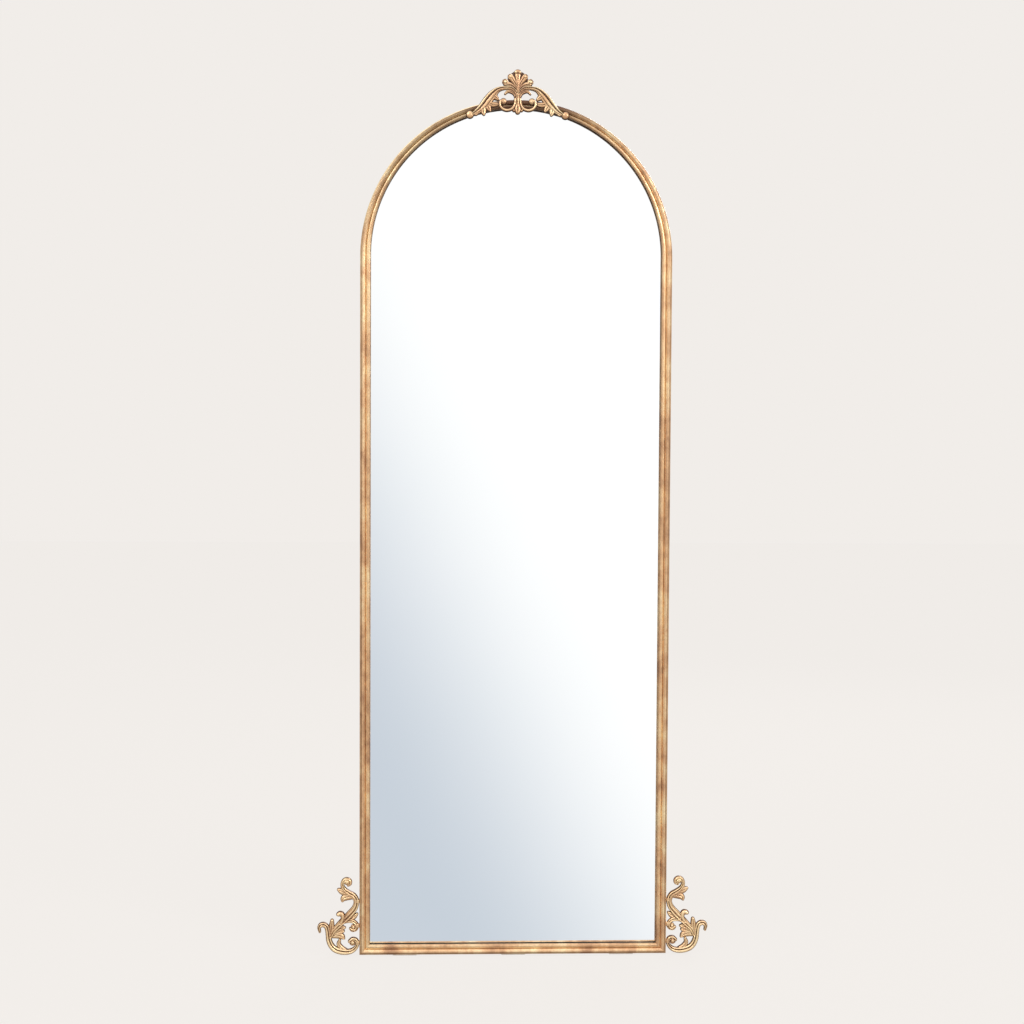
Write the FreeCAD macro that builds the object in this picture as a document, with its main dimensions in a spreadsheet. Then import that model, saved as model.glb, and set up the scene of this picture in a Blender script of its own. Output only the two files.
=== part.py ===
"""Leaning floor mirror: a tall arched glass in a slim double-reeded metal frame, with a pierced
scrollwork crest on the arch and a pierced scroll casting outside each bottom corner.

Row frame, in millimetres: X to the right, Y from front to back, Z up. The mirror stands upright
with its face towards -Y. The origin is on the floor, under the middle of the bottom rail.
"""

import FreeCAD, Part  # noqa: E401  this order matters
import math
import os
import Sketcher
from FreeCAD import Placement, Rotation, Vector

doc = FreeCAD.newDocument("floor_mirror")
sheet = doc.addObject("Spreadsheet::Sheet", "Sizes")

# Driving dimensions. "u" below is a distance from the frame's outside towards the glass.
SIZES = {
    "frame_width": 595.0,  # outside of one stile to outside of the other
    "frame_top": 1643.0,  # floor to the outside of the arch
    "moulding": 20.0,  # face width of the frame moulding
    "bead_big": 5.5,  # radius of the outer reed
    "bead_small": 4.2,  # radius of the inner reed
    "reed_step": 1.8,  # how far the inner reed lies behind the outer one
    "front": -12.0,  # Y of the outer reed's crown
    "seat": -2.0,  # Y of the closed tube's rear, where the glazing tape sticks
    "back": 12.0,  # Y of the outer wall's rear edge
    "wall": 1.5,  # sheet the moulding is rolled from
    "mitre_spare": 5.0,
    "key_inset": 7.5,  # u of the corner keys inside the tube
    "key_wide": 10.0,
    "key_leg": 60.0,
    "key_sheet": 2.0,
    "floor_pad": 2.0,  # rubber under the bottom rail
    "pad_long": 46.0,
    "pad_deep": 18.0,
    "pad_apart": 210.0,
    "edge_gap": 2.0,  # glass edge to the frame's outer wall
    "tape": 3.0,  # black glazing tape, seen as a dark line round the glass
    "tape_inset": 1.6,  # its inner edge lies this far behind the lip of the moulding
    "glass": 4.0,
    "bond": 1.0,  # foam strips between glass and board
    "bond_wide": 24.0,
    "bond_apart": 180.0,
    "bond_foot": 60.0,
    "bond_top": 1450.0,
    "board": 5.0,
    "tab_wide": 20.0,
    "tab_reach": 22.0,
    "tab_sheet": 0.8,
    "tab_leg": 4.0,  # part of a tab that goes down beside the board
    "tab_play": 0.2,
    "tab_apart": 150.0,
    "screw_shank": 1.75,
    "screw_head": 3.5,
    "screw_rise": 2.2,
    "screw_bite": 4.4,
    "bumper": 20.0,
    "bumper_rise": 8.0,
    "bumper_low_x": 250.0,
    "bumper_low_z": 60.0,
    "bumper_high_x": 195.0,
    "bumper_high_z": 1480.0,
    "hanger_x": 215.0,
    "hanger_z": 1292.0,
    "strap_wide": 18.0,
    "strap_long": 27.0,  # ring axis to the middle of the strap's round end
    "strap_sheet": 1.2,
    "strap_hole": 26.0,
    "ring_wire": 1.5,
    "ring_play": 0.3,
    "ring_half": 12.0,  # half the ring's width, between the middles of its wires
    "ring_foot": 7.0,  # half the width at its lower end
    "ring_side": 11.0,  # straight part of its sides
    "ring_drop": 17.0,
    "fold_neck": 1.5,  # the strap's fold narrows below this
    "fold_pinch": 10.0,  # and is closed here
    "pin": 1.5,  # radius of the pins that fix the castings
    "pin_inside": 6.0,
    "pin_cast": 4.0,
    "bracket_sheet": 1.2,
    "bracket_wide": 8.0,
    "bracket_high": 32.0,
    "bracket_foot": 20.0,  # how far its foot reaches back over the arch
    "crest_screw": 20.0,  # its height above the arch
    "screw_pan": 3.0,
    "screw_pan_rise": 1.8,
    "scroll_rear": -1.0,  # Y of the flat backs of the side scrolls
    "scroll_pin_y": -5.2,
}
for row, (alias, value) in enumerate(SIZES.items(), start=1):
    sheet.set(f"A{row}", alias)
    sheet.set(f"B{row}", str(value))
    sheet.setAlias(f"B{row}", alias)
doc.recompute()


class Dim:
    """A length that knows its value and the spreadsheet expression behind it."""

    def __init__(self, value, text):
        self.value = value
        self.text = text

    def join(self, other, sign, value):
        text = other.text if isinstance(other, Dim) else f"{other} mm"
        return Dim(value, f"({self.text} {sign} {text})")

    def __add__(self, other):
        return self.join(other, "+", self.value + number(other))

    def __sub__(self, other):
        return self.join(other, "-", self.value - number(other))

    def __mul__(self, factor):
        return Dim(self.value * factor, f"({self.text} * ({factor}))")

    def __neg__(self):
        return self * -1


def number(length):
    return length.value if isinstance(length, Dim) else length


def size(alias):
    return Dim(SIZES[alias], f"(Sizes.{alias} * 1 mm)")


def bind(obj, **lengths):
    """Sets properties now and ties them to the sheet."""
    for prop, length in lengths.items():
        setattr(obj, prop, number(length))
        if isinstance(length, Dim):
            obj.setExpression(prop, length.text)


def place(obj, x=0, y=0, z=0, rotation=None):
    """Puts an object at lengths from the sheet."""
    obj.Placement = Placement(Vector(number(x), number(y), number(z)), rotation or Rotation())
    for axis, length in (("x", x), ("y", y), ("z", z)):
        if isinstance(length, Dim):
            obj.setExpression(f"Placement.Base.{axis}", length.text)
    return obj


# ---------------------------------------------------------------- sketches, bodies, primitives


def body(label):
    made = doc.addObject("PartDesign::Body", label)
    made.Label = label
    return made


def plane_of(owner, role):
    return next(f for f in owner.Origin.OriginFeatures if f.Role == role)


def sketch(owner, name, role, depth=0):
    """An empty sketch on one of the body's own origin planes, moved along the plane's normal."""
    made = owner.newObject("Sketcher::SketchObject", name)
    made.AttachmentSupport = [(plane_of(owner, role), "")]
    made.MapMode = "FlatFace"
    made.AttachmentOffset = Placement(Vector(0, 0, number(depth)), Rotation())
    if isinstance(depth, Dim):
        made.setExpression("AttachmentOffset.Base.z", depth.text)
    return made


def hold(sk, kind, length, *places):
    index = sk.addConstraint(Sketcher.Constraint(kind, *places, number(length)))
    sk.setExpression(f"Constraints[{index}]", length.text)


def hold_point(sk, geo, pos, point):
    """Holds one sketch point at two lengths from the sketch's origin."""
    for kind, axis, length in (("DistanceX", -2, point[0]), ("DistanceY", -1, point[1])):
        if isinstance(length, Dim):
            hold(sk, kind, length, -1, 1, geo, pos)
        else:
            sk.addConstraint(Sketcher.Constraint("PointOnObject", geo, pos, axis))


def outline(sk, corners):
    """A closed loop of lines and half circles. A corner is (x, y), or (x, y, side) where a half circle
    leads on to the next corner: side is 1 if it bulges to the left of the way along, -1 if not."""
    joins = []
    for i, start in enumerate(corners):
        end = corners[(i + 1) % len(corners)]
        a = Vector(number(start[0]), number(start[1]), 0)
        b = Vector(number(end[0]), number(end[1]), 0)
        near, far = 1, 2
        if len(start) == 2:
            geo = sk.addGeometry(Part.LineSegment(a, b))
        else:
            half = (b - a) / 2
            crown = a + half + Vector(-half.y, half.x, 0) * start[2]
            geo = sk.addGeometry(Part.ArcOfCircle(a, crown, b))
            if sk.getPoint(geo, 1).distanceToPoint(a) > 1e-6:
                near, far = 2, 1
            level = "Horizontal" if abs(half.y) < 1e-9 else "Vertical"
            sk.addConstraint(Sketcher.Constraint(level, geo, 3, geo, near))
        if joins:
            sk.addConstraint(Sketcher.Constraint("Coincident", *joins[-1][1], geo, near))
        hold_point(sk, geo, near, start)
        joins.append(((geo, near), (geo, far)))
    sk.addConstraint(Sketcher.Constraint("Coincident", *joins[-1][1], *joins[0][0]))


def circles(sk, centres, radius):
    for centre in centres:
        middle = Vector(number(centre[0]), number(centre[1]), 0)
        geo = sk.addGeometry(Part.Circle(middle, Vector(0, 0, 1), number(radius)))
        hold_point(sk, geo, 3, centre)
        hold(sk, "Radius", radius, geo)


def pad(owner, sk, length, midplane=False, reverse=False):
    made = owner.newObject("PartDesign::Pad", sk.Name + "_pad")
    made.Profile = sk
    made.Midplane = midplane
    made.Reversed = reverse
    bind(made, Length=length)
    return made


def pocket(owner, sk, length=None):
    """A cut to a depth, or through the whole body both ways."""
    made = owner.newObject("PartDesign::Pocket", sk.Name + "_cut")
    made.Profile = sk
    if length is None:
        made.Type = "ThroughAll"
        made.Midplane = True
    else:
        bind(made, Length=length)
    return made


def mirrored(owner, feature, role):
    made = owner.newObject("PartDesign::Mirrored", feature.Name + "_mirrored")
    made.Originals = [feature]
    made.MirrorPlane = (plane_of(owner, role), [""])
    owner.Tip = made
    return made


def sheet_body(label, loops, front, thickness, holes=(), hole_radius=None):
    """A flat piece cut from sheet that reaches back from the Y value "front"."""
    made = body(label)
    face = sketch(made, label + "_outline", "XZ_Plane", -front)
    for loop in loops:
        outline(face, loop)
    if holes:
        circles(face, holes, hole_radius)
    pad(made, face, thickness, reverse=True)
    return made


def cylinder(name, radius, height, rotation, x=0, y=0, z=0):
    made = doc.addObject("Part::Cylinder", name)
    bind(made, Radius=radius, Height=height)
    return place(made, x, y, z, rotation)


def box(name, length, width, height, x, y, z):
    made = doc.addObject("Part::Box", name)
    bind(made, Length=length, Width=width, Height=height)
    return place(made, x, y, z)


def joined(label, shapes):
    made = doc.addObject("Part::MultiFuse", label)
    made.Label = label
    made.Shapes = shapes
    return made


def loose_set(label, pieces):
    """One node that holds several separate solids."""
    made = doc.addObject("Part::Compound", label)
    made.Label = label
    made.Links = pieces
    return made


TO_BACK = Rotation(Vector(1, 0, 0), -90)  # turns a cylinder's axis from +Z to +Y
TO_RIGHT = Rotation(Vector(0, 1, 0), 90)  # turns it from +Z to +X
SIDES = (("left", -1), ("right", 1))

# ---------------------------------------------------------------- lengths shared by several pieces

half_width = size("frame_width") * 0.5
spring_line = size("frame_top") - half_width  # height where the stiles run into the arch
rail_under = size("floor_pad")
wall = size("wall")
lining = wall + size("edge_gap")  # u of the edges of glass and board
glass_front = size("seat") + size("tape")
board_front = glass_front + size("glass") + size("bond")
board_back = board_front + size("board")


def arched(u):
    """The frame's outline at a distance u from its outside."""
    side, foot = half_width - u, rail_under + u
    return [(side, foot), (side, spring_line, -1), (-side, spring_line), (-side, foot)]


REED_FACETS = 6


def reed(start, radius, foot):
    """A half-round bead drawn with narrow flats: (u, y) from the side at u = start to the other."""
    turns = [math.pi * i / REED_FACETS for i in range(REED_FACETS + 1)]
    return [(start + radius * (1 - math.cos(turn)), foot - radius * math.sin(turn)) for turn in turns]


def moulding_section(across):
    """The profile of the frame: two reeds on a flat tube, and an outer wall that runs on backwards
    round the glass. across(u) turns a distance u from the outside into a sketch length."""
    big, small, lip = size("bead_big"), size("bead_small"), size("moulding")
    foot = size("front") + big
    small_foot = size("front") + size("reed_step") + small
    seat, nothing = size("seat"), wall * 0
    reeds = reed(nothing, big, foot) + reed(lip - small * 2, small, small_foot)
    skin = [
        (across(nothing), size("back")),
        *[(across(u), y) for u, y in reeds],
        (across(lip), seat),
        (across(wall), seat),
        (across(wall), size("back")),
    ]
    hollow = [
        (across(wall), small_foot),
        (across(lip - wall), small_foot),
        (across(lip - wall), seat - wall),
        (across(wall), seat - wall),
    ]
    return skin, hollow


# ---------------------------------------------------------------- frame

LUGS = (23.0, 56.0, 103.0)  # heights above the rail's underside where a side scroll meets its stile
PINNED = (LUGS[0], LUGS[2])  # the lugs that hold a pin


def mitre_line():
    """The mitre of the right-hand corner, run on a little past the moulding at both ends."""
    spare = size("mitre_spare")
    inside, above = half_width - size("moulding"), rail_under + size("moulding")
    return (half_width + spare, rail_under - spare), (inside - spare, above + spare)


def stile(name, side):
    """A straight upright, cut to a mitre at its foot and drilled for its side scroll."""
    made = body(f"{name}_stile")
    section = sketch(made, f"{name}_stile_section", "XY_Plane", spring_line)
    for loop in moulding_section(lambda u: (half_width - u) * side):
        outline(section, loop)
    pad(made, section, spring_line - rail_under, reverse=True)
    mitre = sketch(made, f"{name}_stile_mitre", "XZ_Plane")
    low, high = mitre_line()
    outline(mitre, [(x * side, z) for x, z in (low, (high[0], low[1]), high)])
    pocket(made, mitre)
    holes = sketch(made, f"{name}_scroll_holes", "YZ_Plane", half_width * side)
    circles(holes, [(size("scroll_pin_y"), rail_under + height) for height in PINNED], size("pin"))
    drill = pocket(made, holes, size("pin_inside"))
    drill.Reversed = side < 0
    return made


def arch_hoop():
    """The same profile bent to a half circle."""
    made = body("arch_hoop")
    section = sketch(made, "arch_section", "XY_Plane", spring_line)
    for loop in moulding_section(lambda u: half_width - u):
        outline(section, loop)
    bend = made.newObject("PartDesign::Revolution", "arch_bend")
    bend.Profile = section
    bend.ReferenceAxis = (section, ["V_Axis"])
    bend.Angle = 180
    bend.Reversed = True
    return made


def bottom_rail():
    """A straight length of the profile, its ends cut to meet the mitres of the stiles."""
    rail = body("bottom_rail")
    section = sketch(rail, "rail_section", "YZ_Plane")
    for loop in moulding_section(lambda u: rail_under + u):
        outline(section, [(y, z) for z, y in loop])
    pad(rail, section, size("frame_width"), midplane=True)
    mitre = sketch(rail, "rail_mitre", "XZ_Plane")
    low, high = mitre_line()
    outline(mitre, [low, (low[0], high[1]), high])
    mirrored(rail, pocket(rail, mitre), "YZ_Plane")
    return rail


def corner_key(name, side):
    """A flat steel angle inside the tube that joins stile and rail behind the mitre."""
    near, far = size("key_inset"), size("key_inset") + size("key_wide")
    leg = size("key_leg")
    corners = [(near, near), (leg, near), (leg, far), (far, far), (far, leg), (near, leg)]
    loop = [((half_width - x) * side, rail_under + z) for x, z in corners]
    thin = size("key_sheet")
    return sheet_body(f"{name}_corner_key", [loop], size("seat") - wall - thin, thin)


def floor_pads():
    long, deep = size("pad_long"), size("pad_deep")
    pads = []
    for i, step in enumerate((-1, 0, 1)):
        x = size("pad_apart") * step - long * 0.5
        pads.append(box(f"floor_pad_{i}", long, deep, rail_under, x, size("back") - deep, 0))
    return loose_set("floor_pads", pads)


# ---------------------------------------------------------------- glass and board

TAB_HEIGHTS = (300.0, 680.0, 1060.0)  # of the tabs on the stiles, above the rail's underside
TAB_ANGLES = (40, 90, 140)  # of the tabs round the arch, from its right end


def tab_places():
    """Where the tabs stand on the board's edge, each with the angle of the way outwards."""
    reach = half_width - wall
    places = []
    for height in TAB_HEIGHTS:
        places.append((reach, rail_under + height, 0))
        places.append((-reach, rail_under + height, 180))
    for angle in TAB_ANGLES:
        turn = math.radians(angle)
        places.append((reach * math.cos(turn), spring_line + reach * math.sin(turn), angle))
    for x in (-size("tab_apart"), size("tab_apart")):
        places.append((x, rail_under + wall, 270))
    return places


def hanger_holes():
    return [(size("hanger_x") * side, size("hanger_z") - size("strap_hole")) for _, side in SIDES]


def bonding_strips():
    """Three upright strips of double-sided foam between glass and board."""
    strips = []
    wide, thin, foot = size("bond_wide"), size("bond"), size("bond_foot")
    tall = size("bond_top") - foot
    for i, step in enumerate((-1, 0, 1)):
        x = size("bond_apart") * step - wide * 0.5
        strips.append(box(f"strip_{i}", wide, thin, tall, x, board_front - thin, foot))
    return loose_set("bonding_strips", strips)


def board_tabs():
    """Sheet tabs welded inside the outer wall and folded down on the board."""
    tabs = []
    thin, wide, reach = size("tab_sheet"), size("tab_wide"), size("tab_reach")
    for i, (x, z, angle) in enumerate(tab_places()):
        foot = box(f"tab_foot_{i}", reach, thin, wide, -reach - size("tab_play"), 0, -wide * 0.5)
        leg_x = -thin - size("tab_play")
        leg = box(f"tab_leg_{i}", thin, size("tab_leg"), wide, leg_x, -size("tab_leg"), -wide * 0.5)
        tab = joined(f"tab_{i}", [foot, leg])
        tabs.append(place(tab, x, board_back, z, Rotation(Vector(0, 1, 0), -angle)))
    return loose_set("board_tabs", tabs)


def hanger_screws():
    """Pan-head screws through the hanger straps into the board."""
    made = []
    under = board_back + size("strap_sheet")
    shank_long = size("screw_bite") + size("strap_sheet")
    for i, (x, z) in enumerate(hanger_holes()):
        shank = cylinder(f"shank_{i}", size("screw_shank"), shank_long, TO_BACK, x, under - shank_long, z)
        head = cylinder(f"head_{i}", size("screw_head"), size("screw_rise"), TO_BACK, x, under, z)
        made.append(joined(f"hanger_screw_{i}", [shank, head]))
    return loose_set("hanger_screws", made)


def wall_bumpers():
    """Square rubber blocks on the board that meet the wall behind the mirror."""
    bumpers = []
    wide, rise = size("bumper"), size("bumper_rise")
    for row in ("low", "high"):
        x, z = size(f"bumper_{row}_x"), size(f"bumper_{row}_z") - wide * 0.5
        for name, side in SIDES:
            label = f"{name}_{row}_bumper"
            bumpers.append(box(label, wide, rise, wide, x * side - wide * 0.5, board_back, z))
    return loose_set("wall_bumpers", bumpers)


# ---------------------------------------------------------------- hangers

eye_radius = size("ring_wire") + size("ring_play") + size("strap_sheet")
ring_axis = board_back + eye_radius


def hanger_strap(name, side):
    """A steel strap on the board, its top folded back round the ring's bar and pinched shut."""
    made = body(f"{name}_hanger_strap")
    half, end = size("strap_wide") * 0.5, -size("strap_long")
    thin, deep = size("strap_sheet"), eye_radius * 2
    strip = sketch(made, f"{name}_strip", "XZ_Plane")
    outline(strip, [(-half, 0), (half, 0), (half, end, 1), (-half, end)])
    circles(strip, [(0, -size("strap_hole"))], size("screw_shank"))
    pad(made, strip, thin, reverse=True)
    fold = sketch(made, f"{name}_fold", "YZ_Plane")
    neck, pinch = -size("fold_neck"), -size("fold_pinch")
    outline(fold, [(0, pinch), (0, 0, 1), (deep, 0), (deep, neck), (thin, pinch)])
    outline(fold, [(thin, pinch + thin * 2), (thin, 0, 1), (deep - thin, 0), (deep - thin, neck)])
    pad(made, fold, size("strap_wide"), midplane=True)
    return place(made, size("hanger_x") * side, board_back, size("hanger_z"))


def hanger_ring(name, side):
    """A bent wire loop: its straight bar turns in the eye and the rest hangs behind the strap."""
    made = body(f"{name}_hanger_ring")
    half, low, foot = size("ring_half"), -size("ring_drop"), size("ring_foot")
    path = sketch(made, f"{name}_ring_path", "XZ_Plane")
    bent = -size("ring_side")
    outline(path, [(0, 0), (half, 0), (half, bent), (foot, low), (-foot, low), (-half, bent), (-half, 0)])
    wire = sketch(made, f"{name}_ring_wire", "YZ_Plane")
    circles(wire, [(0, 0)], size("ring_wire"))
    bend = made.newObject("PartDesign::AdditivePipe", f"{name}_ring_bend")
    bend.Profile = wire
    bend.Spine = (path, [f"Edge{i}" for i in range(1, 8)])
    bend.Transition = "Right corner"
    return place(made, size("hanger_x") * side, ring_axis, size("hanger_z"))


# ---------------------------------------------------------------- castings

# Each arm of a casting is a strap: its rise in front of the flat back, and the course it takes, as
# points (x, z, width) on its middle line. An eye is the boss at the heart of a volute: its radius
# and middle. Scrolls stand highest, leaves a little lower, and the ground between them lowest.
SCROLL = 8.5
LEAF = 7.0
GROUND = 5.0
FACETS = 2  # flats on each edge of a strap between two points of its course
LUG_LONG = 6.0
LUG_HIGH = 7.0

# Right half of the crest; x from the middle of the arch, z from the arch's outer top.
CREST_ARMS = {
    "c_scroll": (
        SCROLL,
        ((1, 6, 6), (6, 15, 7), (14, 20.3, 7), (26, 20.5, 7), (37, 17.5, 9), (46, 10, 14)),
        ((54.5, 0, 16), (64, -12, 14), (74, -22, 10), (85.5, -29.3, 6)),
    ),
    "volute": (
        SCROLL,
        ((5, 0, 5), (5.5, -10, 5), (11, -19, 5), (20, -22, 5), (29, -19.5, 5)),
        ((33, -12, 5.5), (30.5, -4.8, 6.5), (24, -4.5, 7), (18.5, -7.5, 6)),
    ),
    "tongue": (LEAF, ((3.5, 3, 6), (7, 10, 6), (13.5, 14, 7), (19.5, 14, 6), (24, 9.5, 3))),
    "leaf_a": (LEAF, ((49, 8, 12), (42.5, 4, 10), (36, -1, 5))),
    "leaf_b": (LEAF, ((58, -8, 10), (47, -10.5, 9), (36, -10, 5))),
    "leaf_c": (LEAF, ((60, -10, 11), (56, -18, 9), (51.5, -24, 4))),
    "leaf_d": (LEAF, ((66, -15, 12), (65.5, -25, 10), (64, -33, 4))),
    "leaf_e": (LEAF, ((74, -22, 10), (77.5, -28, 9), (79.5, -33.5, 4))),
    "low_curl": (LEAF, ((1.5, 17, 6), (8, 25.5, 7), (16.5, 28.8, 8), (25, 28.8, 8))),
    "high_curl": (LEAF, ((1.5, 24, 5), (6.5, 33, 7), (13, 39.5, 8))),
    "bell": (LEAF, ((3, -8, 7), (6, -16, 8), (9, -22, 7), (11.5, -26.5, 3))),
}
CREST_MIDDLE = {
    "stem": (SCROLL, ((0, 24, 7), (0, 10, 9), (0, -4, 10), (0, -18, 12), (0, -28.5, 6))),
    "shell": (GROUND, ((0, 18, 12), (0, 24, 22), (0, 30, 29), (0, 36, 26), (0, 42, 19), (0, 48, 10))),
    "rib": (SCROLL, ((0, 20, 7), (0, 34, 10), (0, 46, 9))),
    "bud": (SCROLL, ((0, 46, 8), (0, 50, 11), (0, 53, 7))),
}
CREST_EYES = ((7.0, (92.4, -30.5)), (5.0, (26, 30.5)), (4.5, (14.5, 41)), (3.8, (25, -6)))

# The right side scroll; x from the stile's outer wall, z from the floor.
SCROLL_ARMS = {
    "c_scroll": (
        SCROLL,
        ((76.8, 46.5, 3.5), (78.2, 53.5, 7), (75, 58.8, 8.5), (69.5, 60, 9.5), (64, 56.5, 9)),
        ((61.5, 49, 9), (60, 38, 9.5), (58.5, 29, 11), (54, 19, 11), (46.3, 11.2, 11)),
        ((34, 7.2, 10), (21, 7, 8.5), (11.5, 11, 7.5), (5.4, 18, 6.5), (4.2, 25.5, 6)),
        ((7.3, 30.6, 6.5), (13.5, 31.5, 7), (19, 27.5, 6)),
    ),
    "s_scroll": (
        SCROLL,
        ((56.5, 37, 8), (51.5, 47, 8), (44, 55, 9), (33.5, 65.5, 11), (20.8, 78, 12)),
        ((10.6, 89.5, 11), (6.6, 99, 10), (6.8, 107.5, 10), (12, 115, 10.5), (21, 120, 10)),
        ((28, 125.8, 8), (32.5, 132.5, 6.5), (33.4, 139.5, 5.5), (30, 145.6, 6)),
        ((24, 147.3, 6.5), (18.7, 144, 6.5), (18, 138.3, 6), (22, 135.5, 5)),
    ),
    "mid_volute": (
        SCROLL,
        ((38, 61.5, 6), (26, 66.3, 7), (14.5, 66.5, 7), (6.3, 61.5, 6.5)),
        ((4.8, 54.5, 6), (8, 49, 5), (14, 48.6, 5), (17.5, 52, 5)),
    ),
    "tongue": (LEAF, ((26, 9.5, 8), (34.5, 14.5, 9), (39.8, 22, 9), (37.3, 30.5, 4))),
    "acanthus_a": (LEAF, ((56, 40, 9), (44.5, 49, 12), (34.5, 53, 10), (27.5, 54, 5))),
    "acanthus_b": (LEAF, ((56, 39, 8), (44, 44.5, 11), (30.5, 46.8, 5))),
    "acanthus_c": (LEAF, ((56, 38, 9), (44.5, 39.8, 12), (34, 36.8, 11), (29.3, 33, 4))),
    "spear": (LEAF, ((55, 46, 9), (53.8, 58, 9), (52.8, 68.5, 6))),
    "top_leaf": (LEAF, ((26, 121, 10), (34, 124, 12), (41.3, 127, 6))),
    "neck_leaf": (LEAF, ((14.5, 114.5, 11), (25, 113.2, 12), (31.3, 110, 10), (33, 105, 4))),
    "outer_curl": (LEAF, ((35, 64, 7), (31.5, 73, 8), (33.5, 80, 9), (38.3, 82, 9), (42.3, 79.5, 6))),
    "inner_leaf": (LEAF, ((20, 70, 8), (11.5, 75, 10), (5.2, 80, 5))),
}
SCROLL_EYES = ((6.0, (13.3, 26)), (4.2, (24.8, 140.8)), (4.8, (11.5, 55)))


def strap(rise, *runs):
    """A strap with a pointed tip, standing on its flat back in front of y = 0. The curve's own Y
    carries the width, so that the width changes as smoothly as the course."""
    points = [Vector(x, width, z) for run in runs for x, z, width in run]
    course = Part.BSplineCurve()
    course.interpolate(points)
    start, end = course.FirstParameter, course.LastParameter
    steps = (len(points) - 1) * FACETS
    left, right = [], []
    for i in range(steps + 1):
        at = start + (end - start) * i / steps
        here, way = course.value(at), course.tangent(at)[0]
        middle = Vector(here.x, 0, here.z)
        along = Vector(way.x, 0, way.z).normalize() * (here.y / 2)
        across = Vector(-along.z, 0, along.x)
        left.append(middle + across)
        right.insert(0, middle - across)
    corners = [*left, middle + along, *right, left[0]]
    return Part.Face(Part.makePolygon(corners)).extrude(Vector(0, -rise, 0))


def eye(radius, middle):
    return Part.makeCylinder(radius, SCROLL, Vector(middle[0], 0, middle[1]), Vector(0, -1, 0))


def arms_and_eyes(arms, eyes):
    return [strap(*arm) for arm in arms.values()] + [eye(*boss) for boss in eyes]


def flip(shape):
    return shape.mirror(Vector(0, 0, 0), Vector(1, 0, 0))


def casting(label, pieces, pins):
    """Joins the arms into one casting, drills it for its pins and keeps it as a feature."""
    made = doc.addObject("Part::Feature", label)
    made.Label = label
    shape = pieces[0].fuse(pieces[1:])
    for drill in pins:
        shape = shape.cut(drill)
    made.Shape = shape.removeSplitter()
    return made


def crest():
    half = arms_and_eyes(CREST_ARMS, CREST_EYES)
    pieces = half + [flip(piece) for piece in half] + arms_and_eyes(CREST_MIDDLE, ())
    behind = Vector(0, 0, SIZES["crest_screw"])
    drill = Part.makeCylinder(SIZES["pin"], SIZES["pin_cast"], behind, Vector(0, -1, 0))
    return place(casting("crest", pieces, [drill]), 0, size("front"), size("frame_top"))


def side_scroll(name, side):
    pieces = arms_and_eyes(SCROLL_ARMS, SCROLL_EYES)
    drills = []
    for height in LUGS:
        foot = height + SIZES["floor_pad"] - LUG_HIGH / 2
        pieces.append(Part.makeBox(LUG_LONG, SCROLL, LUG_HIGH, Vector(0, -SCROLL, foot)))
    for height in PINNED:
        middle = Vector(0, SIZES["scroll_pin_y"] - SIZES["scroll_rear"], height + SIZES["floor_pad"])
        drills.append(Part.makeCylinder(SIZES["pin"], SIZES["pin_cast"], middle, Vector(1, 0, 0)))
    if side < 0:
        pieces = [flip(piece) for piece in pieces]
        drills = [flip(drill) for drill in drills]
    made = casting(f"{name}_scroll", pieces, drills)
    return place(made, half_width * side, size("scroll_rear"))


# ---------------------------------------------------------------- pins


def crest_bracket():
    """A steel angle: its foot lies on top of the arch and its upright backs the crest."""
    made = body("crest_bracket")
    side = sketch(made, "bracket_side", "YZ_Plane")
    front, thin = size("front"), size("bracket_sheet")
    rear, under = front + thin, size("frame_top")
    end, over, head = front + size("bracket_foot"), under + thin, under + size("bracket_high")
    outline(side, [(front, under), (end, under), (end, over), (rear, over), (rear, head), (front, head)])
    pad(made, side, size("bracket_wide"), midplane=True)
    holes = sketch(made, "bracket_holes", "XZ_Plane")
    circles(holes, [(0, under + size("crest_screw"))], size("pin"))
    pocket(made, holes)
    return made


def crest_screw():
    """A pan-head machine screw from behind through the bracket into the crest."""
    rear = size("front") + size("bracket_sheet")
    long = size("pin_cast") + size("bracket_sheet")
    z = size("frame_top") + size("crest_screw")
    shank = cylinder("crest_shank", size("pin"), long, TO_BACK, 0, rear - long, z)
    head = cylinder("crest_head", size("screw_pan"), size("screw_pan_rise"), TO_BACK, 0, rear, z)
    return joined("crest_screw", [shank, head])


def scroll_pins():
    pins = []
    radius, long, y = size("pin"), size("pin_cast") + size("pin_inside"), size("scroll_pin_y")
    for name, side in SIDES:
        start = half_width * side - (size("pin_inside") if side > 0 else size("pin_cast"))
        for i, height in enumerate(PINNED):
            label = f"{name}_scroll_pin_{i}"
            pins.append(cylinder(label, radius, long, TO_RIGHT, start, y, rail_under + height))
    return loose_set("scroll_pins", pins)


# ---------------------------------------------------------------- the whole mirror


def glass_and_board():
    """The sheets behind the moulding, from front to back."""
    opening = arched(size("moulding") - size("tape_inset"))
    tape = sheet_body("glazing_tape", [arched(lining), opening], size("seat"), size("tape"))
    glass = sheet_body("mirror_glass", [arched(lining)], glass_front, size("glass"))
    thick, shank = size("board"), size("screw_shank")
    board = sheet_body("backboard", [arched(lining)], board_front, thick, hanger_holes(), shank)
    return [tape, glass, bonding_strips(), board, board_tabs(), wall_bumpers()]


nodes = [arch_hoop(), bottom_rail(), floor_pads(), crest(), crest_bracket(), crest_screw(), scroll_pins()]
nodes += glass_and_board()
nodes.append(hanger_screws())
nodes.append(loose_set("hanger_straps", [hanger_strap(*way) for way in SIDES]))
for side_name, side_way in SIDES:
    for maker in (stile, corner_key, side_scroll, hanger_ring):
        nodes.append(maker(side_name, side_way))
doc.recompute()

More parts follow.
